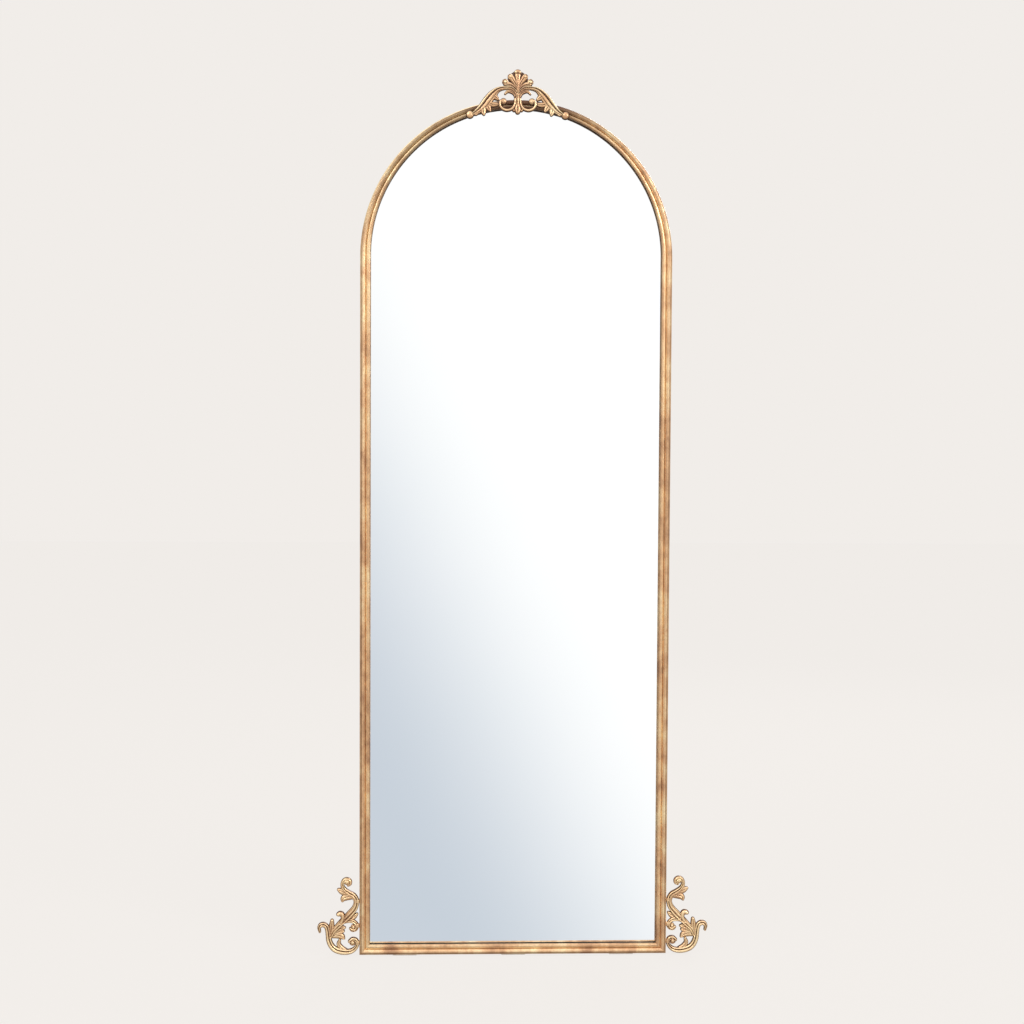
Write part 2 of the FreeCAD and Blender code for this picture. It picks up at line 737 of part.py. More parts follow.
broken = [item.Name for item in doc.Objects if {"Invalid", "Error"} & set(item.State)]
broken += [node.Label for node in nodes if node.Shape.isNull() or not node.Shape.isValid()]
if broken:
    raise RuntimeError(f"these did not build: {broken}")
os.makedirs("parts", exist_ok=True)
for node in nodes:
    node.Shape.exportStep(f"parts/{node.Label}.step")
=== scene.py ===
"""Looks of the leaning floor mirror: smooth reeded moulding, carved scroll castings, aged-gold and
hardware finishes, a pale studio and the photograph's camera. Metres, in the row frame."""

import math

import bpy
import numpy as np
from mathutils import Matrix, Vector


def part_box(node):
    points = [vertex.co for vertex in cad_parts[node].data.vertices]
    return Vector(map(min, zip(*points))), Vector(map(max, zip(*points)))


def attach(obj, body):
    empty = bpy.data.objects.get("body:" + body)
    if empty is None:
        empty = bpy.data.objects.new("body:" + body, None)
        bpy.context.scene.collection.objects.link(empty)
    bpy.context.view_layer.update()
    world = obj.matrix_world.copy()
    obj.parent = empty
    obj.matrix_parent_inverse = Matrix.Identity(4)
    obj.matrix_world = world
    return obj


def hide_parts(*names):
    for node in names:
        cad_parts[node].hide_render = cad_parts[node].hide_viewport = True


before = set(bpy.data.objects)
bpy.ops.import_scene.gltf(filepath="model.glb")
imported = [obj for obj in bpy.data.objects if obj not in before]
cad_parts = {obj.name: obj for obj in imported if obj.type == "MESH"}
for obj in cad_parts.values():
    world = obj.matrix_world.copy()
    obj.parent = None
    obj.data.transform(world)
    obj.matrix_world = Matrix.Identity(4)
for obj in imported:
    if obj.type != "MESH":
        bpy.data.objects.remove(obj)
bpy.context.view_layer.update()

MM = 0.001
BODY = "mirror"

# Places read from the frame.
HOOP_LOW, HOOP_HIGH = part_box("arch_hoop")
HALF_WIDTH = HOOP_HIGH[0]
FRONT, BACK = HOOP_LOW[1], HOOP_HIGH[1]
SPRING_LINE = HOOP_LOW[2]
ARCH_TOP = SPRING_LINE + HALF_WIDTH
RAIL_UNDER, RAIL_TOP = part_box("bottom_rail")[0][2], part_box("bottom_rail")[1][2]
MOULDING = RAIL_TOP - RAIL_UNDER
WALL = 1.5 * MM
TAPE_LOW, TAPE_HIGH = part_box("glazing_tape")
SEAT, TAPE_REAR = TAPE_LOW[1], TAPE_HIGH[1]
EDGE_GAP = HALF_WIDTH - TAPE_HIGH[0]
CREST_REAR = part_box("crest")[1][1]
SCROLL_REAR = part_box("right_scroll")[1][1]

# ---------------------------------------------------------------- finishes


def srgb(red, green, blue):
    """A colour given as 0 to 255 display values, made linear."""
    out = []
    for value in (red, green, blue):
        share = value / 255
        out.append(share / 12.92 if share <= 0.04045 else ((share + 0.055) / 1.055) ** 2.4)
    return (*out, 1.0)


def put(links, socket, value):
    """Links a socket to another one, or sets it where the value is a plain one."""
    if isinstance(value, bpy.types.NodeSocket):
        links.new(value, socket)
    else:
        socket.default_value = value


def mix_colours(tree, factor, first, second, blend="MIX"):
    """A mix node; its colours are the sockets 6 and 7, and its result is the output 2."""
    node = tree.nodes.new("ShaderNodeMix")
    node.data_type = "RGBA"
    node.blend_type = blend
    put(tree.links, node.inputs[0], factor)
    put(tree.links, node.inputs[6], first)
    put(tree.links, node.inputs[7], second)
    return node.outputs[2]


class Finish:
    """A node material: small helpers round its Principled shader."""

    def __init__(self, name, metallic=0.0, roughness=0.5):
        self.material = bpy.data.materials.new(name)
        self.material.use_nodes = True
        self.tree = self.material.node_tree
        self.nodes, self.links = self.tree.nodes, self.tree.links
        self.shader = self.nodes["Principled BSDF"]
        self.shader.inputs["Metallic"].default_value = metallic
        self.shader.inputs["Roughness"].default_value = roughness
        self.place = self.nodes.new("ShaderNodeTexCoord").outputs["Object"]

    def noise(self, scale, detail=4.0, rough=0.5, stretch=None):
        node = self.nodes.new("ShaderNodeTexNoise")
        node.inputs["Scale"].default_value = scale
        node.inputs["Detail"].default_value = detail
        node.inputs["Roughness"].default_value = rough
        source = self.place
        if stretch:
            mapping = self.nodes.new("ShaderNodeMapping")
            mapping.inputs["Scale"].default_value = stretch
            self.links.new(self.place, mapping.inputs["Vector"])
            source = mapping.outputs["Vector"]
        self.links.new(source, node.inputs["Vector"])
        return node.outputs["Fac"]

    def ramp(self, factor, *stops):
        node = self.nodes.new("ShaderNodeValToRGB")
        ramp = node.color_ramp
        while len(ramp.elements) < len(stops):
            ramp.elements.new(0.5)
        for element, (place, colour) in zip(ramp.elements, stops):
            element.position = place
            element.color = colour
        self.links.new(factor, node.inputs["Fac"])
        return node.outputs["Color"]

    def mix(self, factor, first, second, blend="MIX"):
        return mix_colours(self.tree, factor, first, second, blend)

    def level(self, factor, low, high, start=0.3, end=0.7):
        """Turns a factor into a plain number between low and high."""
        node = self.nodes.new("ShaderNodeMapRange")
        node.inputs["From Min"].default_value = start
        node.inputs["From Max"].default_value = end
        node.inputs["To Min"].default_value = low
        node.inputs["To Max"].default_value = high
        self.links.new(factor, node.inputs["Value"])
        return node.outputs["Result"]

    def along(self, direction):
        """How far the shaded point lies along a direction."""
        node = self.nodes.new("ShaderNodeVectorMath")
        node.operation = "DOT_PRODUCT"
        node.inputs[1].default_value = direction
        self.links.new(self.place, node.inputs[0])
        return node.outputs["Value"]

    def feed(self, socket, source):
        self.links.new(source, self.shader.inputs[socket])

    def mottle(self, scale, detail, first, second):
        """Colours the surface in clouds between two stops (place, colour)."""
        self.feed("Base Color", self.ramp(self.noise(scale, detail), first, second))

    def bump(self, height, strength, distance):
        """Adds a layer of relief to those before it."""
        node = self.nodes.new("ShaderNodeBump")
        node.inputs["Strength"].default_value = strength
        node.inputs["Distance"].default_value = distance
        self.links.new(height, node.inputs["Height"])
        before = self.shader.inputs["Normal"].links
        if before:
            self.links.new(before[0].from_socket, node.inputs["Normal"])
        self.links.new(node.outputs["Normal"], self.shader.inputs["Normal"])
        return self


PALE_GOLD = srgb(255, 230, 184)
WARM_GOLD = srgb(226, 182, 138)
BROWN_GOLD = srgb(178, 134, 102)
PATINA_AND_SHADE = srgb(74, 48, 34)
OLIVE_TINT = srgb(130, 112, 84)
CREST_SHADOW = srgb(116, 82, 62)
TINT_SLANT = (-0.35, 0.0, 1.0)  # the olive tint comes on along this, so the left has more of it
# heights over which the olive tint comes on; the painted shadow of the crest starts at the second
TINT_START, TINT_END = ARCH_TOP - 0.2, ARCH_TOP - 0.03
CREST_SHADOW_FULL = ARCH_TOP - 0.014  # painted shadow of the crest: behind it the gilding is painted brown from here up
TINT_SHARE = 0.62
UP = (0.0, 0.0, 1.0)


def aged_gold(name, wear_and_shading=True, darkened_top=False):
    """Gold paint over brown. One that reads the per-point value of wear and painted shading is patina brown
    below
    0.5, partly the real patina of hollows and partly painted shade, and pale above it, partly worn ridges
    and partly painted highlight. One with a darkened top takes an olive tint and a painted shadow of the
    crest towards the arch's top."""
    made = Finish(name, metallic=0.62, roughness=0.36)
    cloud = made.noise(34, 6, 0.62, (1.0, 1.0, 0.6))
    fine = made.noise(240, 5, 0.65)
    base = made.ramp(cloud, (0.30, BROWN_GOLD), (0.48, WARM_GOLD), (0.70, PALE_GOLD))
    base = made.mix(made.level(fine, 0.0, 0.4, 0.45, 0.7), base, BROWN_GOLD)
    if darkened_top:
        # an olive tint over the arch's top, more on the left
        olive = made.level(made.along(TINT_SLANT), 0.0, TINT_SHARE, TINT_START, TINT_END)
        base = made.mix(olive, base, OLIVE_TINT)
        # painted shadow of the crest on the top of the arch behind it
        brown = made.level(made.along(UP), 0.0, 1.0, TINT_END, CREST_SHADOW_FULL)
        base = made.mix(brown, base, CREST_SHADOW)
    if wear_and_shading:
        wear_shading = made.nodes.new("ShaderNodeAttribute")
        wear_shading.attribute_name = "wear_and_shading"
        wear_shading = wear_shading.outputs["Fac"]
        # low values: patina brown, partly real patina in hollows, partly painted shade
        base = made.mix(made.level(wear_shading, 1.0, 0.0, 0.2, 0.47), base, PATINA_AND_SHADE)
        # high values: pale gold, partly worn ridges, partly painted highlight
        ridge = made.level(wear_shading, 0.0, 1.0, 0.54, 0.72)
        patches = made.level(cloud, 0.45, 1.0, 0.35, 0.55)
        base = made.mix(made.mix(1.0, ridge, patches, "MULTIPLY"), base, PALE_GOLD)
    made.feed("Base Color", base)
    made.feed("Roughness", made.level(fine, 0.26, 0.48))
    made.bump(made.noise(420, 6, 0.7), 0.25, 0.0004)
    return made.bump(made.noise(22, 3, 0.5, (1.0, 1.0, 0.5)), 0.5, 0.002).material


def silvered_glass():
    made = Finish("mirror_silver", metallic=1.0, roughness=0.0)
    made.mottle(3, 2, (0.2, srgb(249, 251, 251)), (0.8, srgb(251, 252, 252)))
    made.feed("Roughness", made.level(made.noise(9, 3), 0.0, 0.008))
    return made.material


def black_tape():
    made = Finish("black_tape", roughness=0.7)
    made.mottle(90, 4, (0.3, srgb(10, 7, 5)), (0.7, srgb(26, 19, 14)))
    return made.bump(made.noise(700, 3), 0.3, 0.0003).material


def white_foam():
    made = Finish("white_foam", roughness=0.9)
    made.mottle(300, 5, (0.3, srgb(214, 212, 204)), (0.7, srgb(235, 233, 226)))
    return made.bump(made.noise(900, 4), 0.5, 0.0005).material


def dark_board():
    """Black-faced fibreboard with a faint grain of pressed fibres."""
    made = Finish("dark_board", roughness=0.75)
    fibre = made.noise(70, 8, 0.7, (1.0, 1.0, 0.25))
    speck = made.noise(900, 3, 0.6)
    base = made.ramp(fibre, (0.32, srgb(30, 28, 27)), (0.5, srgb(40, 37, 35)), (0.7, srgb(52, 48, 45)))
    made.feed("Base Color", made.mix(made.level(speck, 0.0, 0.5, 0.58, 0.75), base, srgb(78, 72, 66)))
    made.feed("Roughness", made.level(fibre, 0.62, 0.85))
    return made.bump(made.noise(500, 6, 0.7), 0.35, 0.0004).material


def bare_steel(name, tint, roughness):
    """Sheet or wire with fine brush marks, dimmer between them."""
    made = Finish(name, metallic=1.0, roughness=roughness)
    brush = made.noise(160, 6, 0.6, (1.0, 1.0, 14.0))
    dimmer = (*(channel * 0.72 for channel in tint[:3]), 1.0)
    made.feed("Base Color", made.ramp(brush, (0.25, dimmer), (0.75, tint)))
    made.feed("Roughness", made.level(brush, roughness * 0.8, roughness * 1.3))
    return made.bump(brush, 0.15, 0.0002).material


def pale_rubber():
    made = Finish("pale_rubber", roughness=0.7)
    made.mottle(200, 4, (0.3, srgb(214, 211, 204)), (0.7, srgb(230, 227, 221)))
    return made.bump(made.noise(1100, 4), 0.4, 0.0004).material


def dark_seat():
    """Near-black brown for the faces of the moulding that nobody sees."""
    made = Finish("dark_seat", roughness=0.65)
    made.mottle(60, 5, (0.3, srgb(24, 18, 14)), (0.7, srgb(44, 34, 27)))
    return made.bump(made.noise(500, 4), 0.3, 0.0003).material


GOLD = aged_gold("aged_gold")
ARCH_GOLD = aged_gold("aged_gold_arch", darkened_top=True)
BRACKET_GOLD = aged_gold("aged_gold_bracket", wear_and_shading=False)
SEAT_DARK = dark_seat()
STEEL = bare_steel("plain_steel", srgb(176, 176, 178), 0.38)
ZINC = bare_steel("zinc_plate", srgb(206, 206, 198), 0.28)
NODE_FINISHES = {
    "bonding_strips": white_foam(),
    "backboard": dark_board(),
    "board_tabs": STEEL,
    "crest_bracket": BRACKET_GOLD,
    "crest_screw": STEEL,
    "scroll_pins": STEEL,
    "left_corner_key": STEEL,
    "right_corner_key": STEEL,
    "hanger_straps": ZINC,
    "hanger_screws": ZINC,
    "left_hanger_ring": ZINC,
    "right_hanger_ring": ZINC,
    "floor_pads": pale_rubber(),
}
NODE_FINISHES["wall_bumpers"] = NODE_FINISHES["floor_pads"]
for node_name, finish in NODE_FINISHES.items():
    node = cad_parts[node_name]
    for index in range(len(node.material_slots)):
        node.material_slots[index].link = "DATA"
        node.data.materials[index] = finish

# ---------------------------------------------------------------- mesh helpers


def piece(name, vertices, faces, material, replaced):
    """A mesh that rides with the mirror and stands for a CAD node."""
    mesh = bpy.data.meshes.new(name)
    mesh.from_pydata([tuple(vertex) for vertex in vertices], [], faces)
    mesh.validate()
    made = bpy.data.objects.new(name, mesh)
    bpy.context.scene.collection.objects.link(made)
    mesh.materials.append(material)
    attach(made, BODY)
    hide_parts(replaced)
    return made


def shade(made, angle=35):
    """Smooth shading with sharp edges where faces meet at more than the angle."""
    made.data.shade_smooth()
    made.data.set_sharp_from_angle(angle=math.radians(angle))


# ---------------------------------------------------------------- moulding

BEAD_BIG = 5.5 * MM
BEAD_SMALL = 4.2 * MM
REED_STEP = 1.8 * MM  # how far the small bead lies behind the big one
BEAD_STEPS = 14
NECK = math.radians(250)  # how far the small bead goes round before it meets the seat
# How worn and how lit the gold is painted at a distance from the outside, in millimetres, on either bead:
# below 0.5 painted shade and dark lines, above it painted highlights on the crowns, partly worn gilding.
BIG_WEAR_AND_SHADING = ((0, 0.5), (1.6, 0.46), (2.8, 0.31), (4.2, 0.37), (5.6, 0.54), (8, 0.56), (10, 0.5), (11.3, 0.5))
SMALL_WEAR_AND_SHADING = ((11.9, 0.8), (13.3, 0.78), (14.4, 0.53), (17, 0.48), (19, 0.42), (20, 0.38))
REAR_SHADE = ((0.7, 1.35), (0.5, 0.26))  # heights, and the painted shade of the small bead's rear there, darker higher up
EDGE_REACH = 2.2 * MM  # width of the painted highlight that runs up the outer edge of the arch's left half
EDGE_SHINE = 0.3  # how much paler that painted highlight makes the line
EDGE_FADE_ACROSS = (0.02, 0.06)  # distances from the middle over which the line comes on
EDGE_FADE_UP = (0.0, 0.1)  # heights over the spring line over which it comes on
ARCH_THINNING = 0.2  # share by which the arch's face narrows at the top


def bead(start, radius, foot, end=math.pi):
    count = round(BEAD_STEPS * end / math.pi)
    turns = [end * i / count for i in range(count + 1)]
    return [(start + radius * (1 - math.cos(turn)), foot - radius * math.sin(turn)) for turn in turns]


def moulding_profile():
    """The frame's section as (distance from the outside, Y), from the outer wall over the two beads
    to the seat and the rebate, and the place in it of the small bead's inmost point."""
    big = bead(0, BEAD_BIG, FRONT + BEAD_BIG)
    small = bead(MOULDING - 2 * BEAD_SMALL, BEAD_SMALL, FRONT + REED_STEP + BEAD_SMALL, NECK)
    rear = [(WALL, SEAT), (WALL, BACK)]
    return [(0, BACK), *big, *small, *rear], 1 + len(big) + BEAD_STEPS


PROFILE, INMOST = moulding_profile()
SHADING_PLACES, SHADING_LEVELS = zip(*BIG_WEAR_AND_SHADING, *SMALL_WEAR_AND_SHADING)
FACE_WEAR_AND_SHADING = [(u, float(np.interp(u / MM, SHADING_PLACES, SHADING_LEVELS))) for u, y in PROFILE[:INMOST]]
STILE_STEPS = 24
ARCH_STEPS = 120
ARCH_TURNS = [math.pi * i / ARCH_STEPS for i in range(ARCH_STEPS + 1)]


def pale_edge(x, z):
    """How much of the painted highlight on the outer edge shows: none at the spring line nor on the right
    half.
    """
    across = np.interp(-x, EDGE_FADE_ACROSS, (0, 1))
    return float(across * np.interp(z - SPRING_LINE, EDGE_FADE_UP, (0, 1)))


def swept(name, rows, replaced, material=GOLD, edge_shine=0.0):
    """Skins rows of equal length, each a closed section, and caps the two ends. The faces of the seat
    and the rebate are left dark, and the small bead's rear gets painted shade higher up."""
    count = len(rows[0])
    faces = []
    for row in range(len(rows) - 1):
        for i in range(count):
            j = (i + 1) % count
            a, b = row * count, (row + 1) * count
            faces.append((a + i, a + j, b + j, b + i))
    faces.append(tuple(reversed(range(count))))
    faces.append(tuple((len(rows) - 1) * count + i for i in range(count)))
    made = piece(name, [vertex for row in rows for vertex in row], faces, material, replaced)
    made.data.materials.append(SEAT_DARK)
    for polygon in made.data.polygons[:-2]:
        polygon.material_index = int(polygon.index % count in (count - 3, count - 2))
    # values of wear and painted shading: the face's painted highlight and shade along the profile, the
    # rear's painted shade, and the arch edge's painted highlight
    wear_and_shading = []
    for row in rows:
        rear = float(np.interp(row[0][2], *REAR_SHADE))
        edge_lit = edge_shine * pale_edge(row[0][0], row[0][2])
        wear_and_shading += [value + edge_lit * (u < EDGE_REACH) for u, value in FACE_WEAR_AND_SHADING]
        wear_and_shading += [rear] * (count - INMOST)
    made.data.attributes.new("wear_and_shading", "FLOAT", "POINT").data.foreach_set("value", wear_and_shading)
    shade(made)


def stile(name, side):
    rows = []
    for i in range(STILE_STEPS + 1):
        share = i / STILE_STEPS
        row = []
        for u, y in PROFILE:
            foot = RAIL_UNDER + u
            row.append((side * (HALF_WIDTH - u), y, foot + (SPRING_LINE - foot) * share))
        rows.append(row)
    swept(f"{name}_stile_reeded", rows, f"{name}_stile")


def on_arch(u, turn):
    """The place (x, z) at a distance u from the outside of the arch."""
    radius = HALF_WIDTH - u * (1 - ARCH_THINNING * math.sin(turn))
    return radius * math.cos(turn), SPRING_LINE + radius * math.sin(turn)


def arch():
    rows = []
    for turn in ARCH_TURNS:
        row = []
        for u, y in PROFILE:
            x, z = on_arch(u, turn)
            row.append((x, y, z))
        rows.append(row)
    swept("arch_reeded", rows, "arch_hoop", ARCH_GOLD, EDGE_SHINE)


def rail():
    rows = []
    for i in range(STILE_STEPS + 1):
        share = 1 - 2 * i / STILE_STEPS
        rows.append([((HALF_WIDTH - u) * share, y, RAIL_UNDER + u) for u, y in PROFILE])
    swept("rail_reeded", rows, "bottom_rail")


arch()
rail()
stile("left", -1)
stile("right", 1)

# ---------------------------------------------------------------- glass

GLASS_LOW, GLASS_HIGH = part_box("mirror_glass")
REFRACTION = 1.52
TAPE_INSET = 1.6 * MM  # its inner edge lies this far behind the lip of the moulding


def silvering():
    """The mirror image seems to lie behind the face of the glass, at its thickness over the
    refraction, so the silvered plate starts there."""
    front = GLASS_LOW[1] + (GLASS_HIGH[1] - GLASS_LOW[1]) / REFRACTION
    radius = GLASS_HIGH[0]
    outline = [(-radius, GLASS_LOW[2]), (radius, GLASS_LOW[2])]
    for turn in ARCH_TURNS:
        outline.append((radius * math.cos(turn), SPRING_LINE + radius * math.sin(turn)))
    count = len(outline)
    points = [(x, y, z) for y in (front, GLASS_HIGH[1]) for x, z in outline]
    faces = [tuple(range(count)), tuple(reversed(range(count, 2 * count)))]
    faces += [(i, i + count, (i + 1) % count + count, (i + 1) % count) for i in range(count)]
    piece("mirror_silver", points, faces, silvered_glass(), "mirror_glass")


silvering()


def tape_run():
    """The glazing tape, a flat strip between the moulding's seat and the glass, right round it."""
    inner = MOULDING - TAPE_INSET
    loops = []
    section = ((EDGE_GAP, SEAT), (inner, SEAT), (inner, TAPE_REAR), (EDGE_GAP, TAPE_REAR))
    for u, y in section:
        reach, foot = HALF_WIDTH - u, RAIL_UNDER + u
        places = [(-reach, foot), (reach, foot), *(on_arch(u, turn) for turn in ARCH_TURNS)]
        loops.append([(x, y, z) for x, z in places])
    count = len(loops[0])
    faces = []
    for loop in range(len(section)):
        a, b = loop * count, (loop + 1) % len(section) * count
        faces += [(a + i, a + (i + 1) % count, b + (i + 1) % count, b + i) for i in range(count)]
    points = [point for loop in loops for point in loop]
    piece("glazing_tape_run", points, faces, black_tape(), "glazing_tape")


tape_run()

# ---------------------------------------------------------------- castings

# Each arm: its kind, its rise at the crown, and its course as points (x, z, width), all in
# millimetres. A band has one flute, a sheath has a raised rim on the left of its course, a leaf has a
# vein, and a bud is round.
# Right half of the crest; x from the middle of the arch, z from the arch's outer top.
CREST_ARMS = (
    (
        "sheath",
        8.5,
        ((1, 6, 6), (6, 15, 7), (14, 20.3, 7), (26, 20.5, 7.5), (37, 17.5, 10), (46, 10, 15)),
        ((54.5, 0, 18), (63, -11, 17), (73, -21, 12), (84, -28.6, 7)),
    ),
    (
        "bud",
        8.2,
        ((5, 0, 5), (5.8, -10, 6), (11, -18, 6.2), (20, -21, 6.4), (28.6, -18.5, 6.4)),
        ((33.5, -12, 6.5), (32, -4.5, 7), (27, -2.5, 6)),
    ),
    ("leaf", 7.0, ((3.5, 3, 6), (7, 10, 6.5), (13.5, 14, 7), (19.5, 14, 6), (24, 9.5, 4))),
    ("leaf", 7.2, ((50, 8, 14), (43.5, 4, 12), (37.5, -0.5, 6))),
    ("leaf", 6.8, ((58, -8, 12), (47, -10.5, 11), (37, -10, 7))),
    ("leaf", 7.0, ((60, -9, 13), (56, -16, 12), (52, -22, 5.5))),
    ("leaf", 7.4, ((66, -14, 14), (65.5, -22, 13), (64, -29, 6))),
    ("leaf", 7.2, ((74, -20, 12), (77, -25, 11), (79, -29.5, 5.5))),
    ("leaf", 7.4, ((1.5, 15, 8), (8, 23, 9), (15.5, 26.8, 10), (23, 27.5, 9))),
    ("leaf", 7.6, ((1.5, 23, 7), (6.5, 32, 10), (11.5, 39.5, 11))),
    ("leaf", 7.2, ((2, -6, 6), (4, -13, 8), (7, -20.5, 8))),
)
CREST_MIDDLE = (
    ("leaf", 8.5, ((0, 24, 7), (0, 12, 8), (0, 0, 8), (0, -10, 8), (0, -18, 14), (0, -24, 10))),
    ("bud", 4.0, ((0, 18, 14), (0, 24, 34), (0, 30, 42), (0, 36, 34), (0, 41, 25), (0, 47, 14))),
    ("leaf", 8.3, ((0, 20, 7), (0, 34, 10), (0, 44, 12))),
    ("bud", 8.0, ((-3, 50.4, 8), (0, 51.6, 9), (3, 50.4, 8))),
)
# Each eye: its radius, the height of its crown, the depth of the groove round it and its middle.
CREST_EYES = (
    (7.8, 8.5, 0.0, (90.4, -30)),
    (5.8, 8.2, 1.6, (24, 32)),
    (5.2, 7.8, 1.2, (14.2, 42)),
    (6.4, 8.5, 0.5, (27, -4.6)),
)

# The right side scroll; x from the stile's outer wall, z from the floor.
SCROLL_ARMS = (
    (
        "band",
        8.5,
        ((76.5, 46.5, 5), (77.8, 53.5, 7), (75, 58.5, 9), (69.5, 59.8, 10), (64, 56.5, 10)),
        ((61.5, 49, 9.5), (60, 38, 10), (58.5, 29, 11), (54, 19, 11.5), (46.3, 11.7, 12)),
        ((34, 7.8, 12), (21, 7.4, 10.5), (11.5, 11, 9), (5.4, 18, 7.5), (4.2, 25.5, 7)),
        ((7.3, 30.6, 7.5), (13.5, 31.5, 8), (19, 27.5, 7)),
    ),
    (
        "sheath",
        8.5,
        ((56.5, 37, 8), (51.5, 47, 9), (44, 55, 10), (33.5, 65.5, 12), (20.8, 78, 13)),
        ((10.6, 89.5, 12), (6.6, 99, 11), (6.8, 107.5, 11), (12, 115, 12), (21, 120, 12)),
        ((28, 125.8, 10), (32.3, 132.5, 8), (33, 139.5, 7), (29.8, 145, 7.5)),
        ((24, 146.6, 8.5), (18.7, 143.6, 8), (18.4, 138.3, 7), (22, 135.5, 5)),
    ),
    (
        "band",
        7.6,
        ((38, 61.5, 7), (26, 66.3, 8), (14.5, 66.5, 8), (6.6, 61.5, 7.5)),
        ((5, 54.5, 7), (8.2, 49.4, 6), (14, 48.8, 6), (17.5, 52, 5.5)),
    ),
    ("leaf", 7.2, ((26, 9.5, 9), (34.5, 14.5, 10), (39.8, 22, 9), (38, 30, 5))),
    ("leaf", 7.4, ((56, 40, 10), (44.5, 49, 14), (35.5, 53, 12), (29, 54, 6))),
    ("leaf", 7.0, ((56, 39, 9), (44, 44.8, 13), (31.5, 47, 6.5))),
    ("leaf", 7.4, ((56, 38, 10), (44.5, 40, 14), (35, 37.6, 12), (30, 33, 5))),
    ("leaf", 7.4, ((55, 46, 10), (53.8, 57, 11), (52.8, 67.5, 7))),
    ("leaf", 7.2, ((26, 121, 12), (33, 123.5, 13), (40.5, 127, 6))),
    ("leaf", 7.2, ((14.5, 114.5, 13), (24, 113.2, 14), (31, 110, 11), (33, 105, 5))),
    ("bud", 8.4, ((35, 64, 8), (32, 72, 8.5), (33.5, 79, 10), (37.3, 80.6, 10.5), (41, 79.4, 8))),
    ("leaf", 7.0, ((20, 70, 10), (11.5, 74.5, 11), (5.2, 79.6, 6))),
)
SCROLL_EYES = (
    (6.4, 8.5, 1.6, (13.3, 25.6)),
    (5.2, 8.5, 0.8, (24.8, 141.6)),
    (5.2, 8.5, 1.6, (11.8, 55)),
)
SCROLL_STRETCH = 1.015  # their height in the photograph over that of the courses above
SCROLL_LUGS = (25.0, 58.0, 105.0)  # heights of the lugs that reach the stile
LUG_LONG, LUG_WIDE, LUG_RISE = 6.0, 7.0, 7.0
LUG_ROUND = 0.8

GRID = 0.5  # mm between the nodes of a relief
CREST_REACH = ((-105, -45), (105, 62))  # lowest and highest (x, z) that its relief covers
SCROLL_REACH = ((-3, -3), (90, 156))
SPAN_STEPS = 14  # points of a course from one given point to the next
BEYOND = 1.5  # mm outside an edge over which a relief still knows its height
BACK_LEVEL = 0.42  # the value of the flat back and the foot of the side walls, a little browner than even ground
HOLLOW_REACH = 4  # nodes over which a face is compared with its surroundings
HOLLOW_DEPTH = 3  # mm below its surroundings at which a face is browner by 1: painted shade in the hollows, partly their real patina
CREST_PATINA = 0.12  # how much browner the crest is than the side scrolls
EYE_CROWN = 0.7  # height of an eye's dome over its radius
EYE_RING = (0.6, 0.16)  # where the groove round an eye lies and half its width, over the radius


def course(runs):
    """Close points (x, z, width) on a smooth line through the given ones."""
    rows = [np.array(point, float) for run in runs for point in run]
    rows = [2 * rows[0] - rows[1], *rows, 2 * rows[-1] - rows[-2]]
    out = []
    for a, b, c, d in zip(rows, rows[1:], rows[2:], rows[3:]):
        for t in np.arange(SPAN_STEPS) / SPAN_STEPS:
            bend = (c - a) * t + (2 * a - 5 * b + 4 * c - d) * t**2 + (3 * b - a - 3 * c + d) * t**3
            out.append(b + bend / 2)
    return np.array([*out, rows[-2]])


def face_height(kind, side):
    """An arm's height over its back as a share of its rise; side is 0 at its middle, 1 at its left
    edge and -1 at its right one."""

    def swell(middle, reach):
        return np.exp(-(((side - middle) / reach) ** 2))

    shoulder = np.sqrt(1 - side**4)
    if kind == "band":
        return 0.34 + 0.6 * shoulder - 0.24 * swell(-0.22, 0.17) + 0.08 * swell(0.4, 0.3)
    if kind == "sheath":
        rim = 0.26 * swell(0.7, 0.22) - 0.14 * swell(0.24, 0.2)
        return 0.32 + 0.52 * shoulder + rim - 0.14 * swell(-0.55, 0.14)
    if kind == "leaf":
        return 0.32 + 0.62 * shoulder * (1 - 0.25 * abs(side)) - 0.2 * swell(0, 0.14)
    return 0.3 + 0.7 * np.sqrt(1 - side**2)


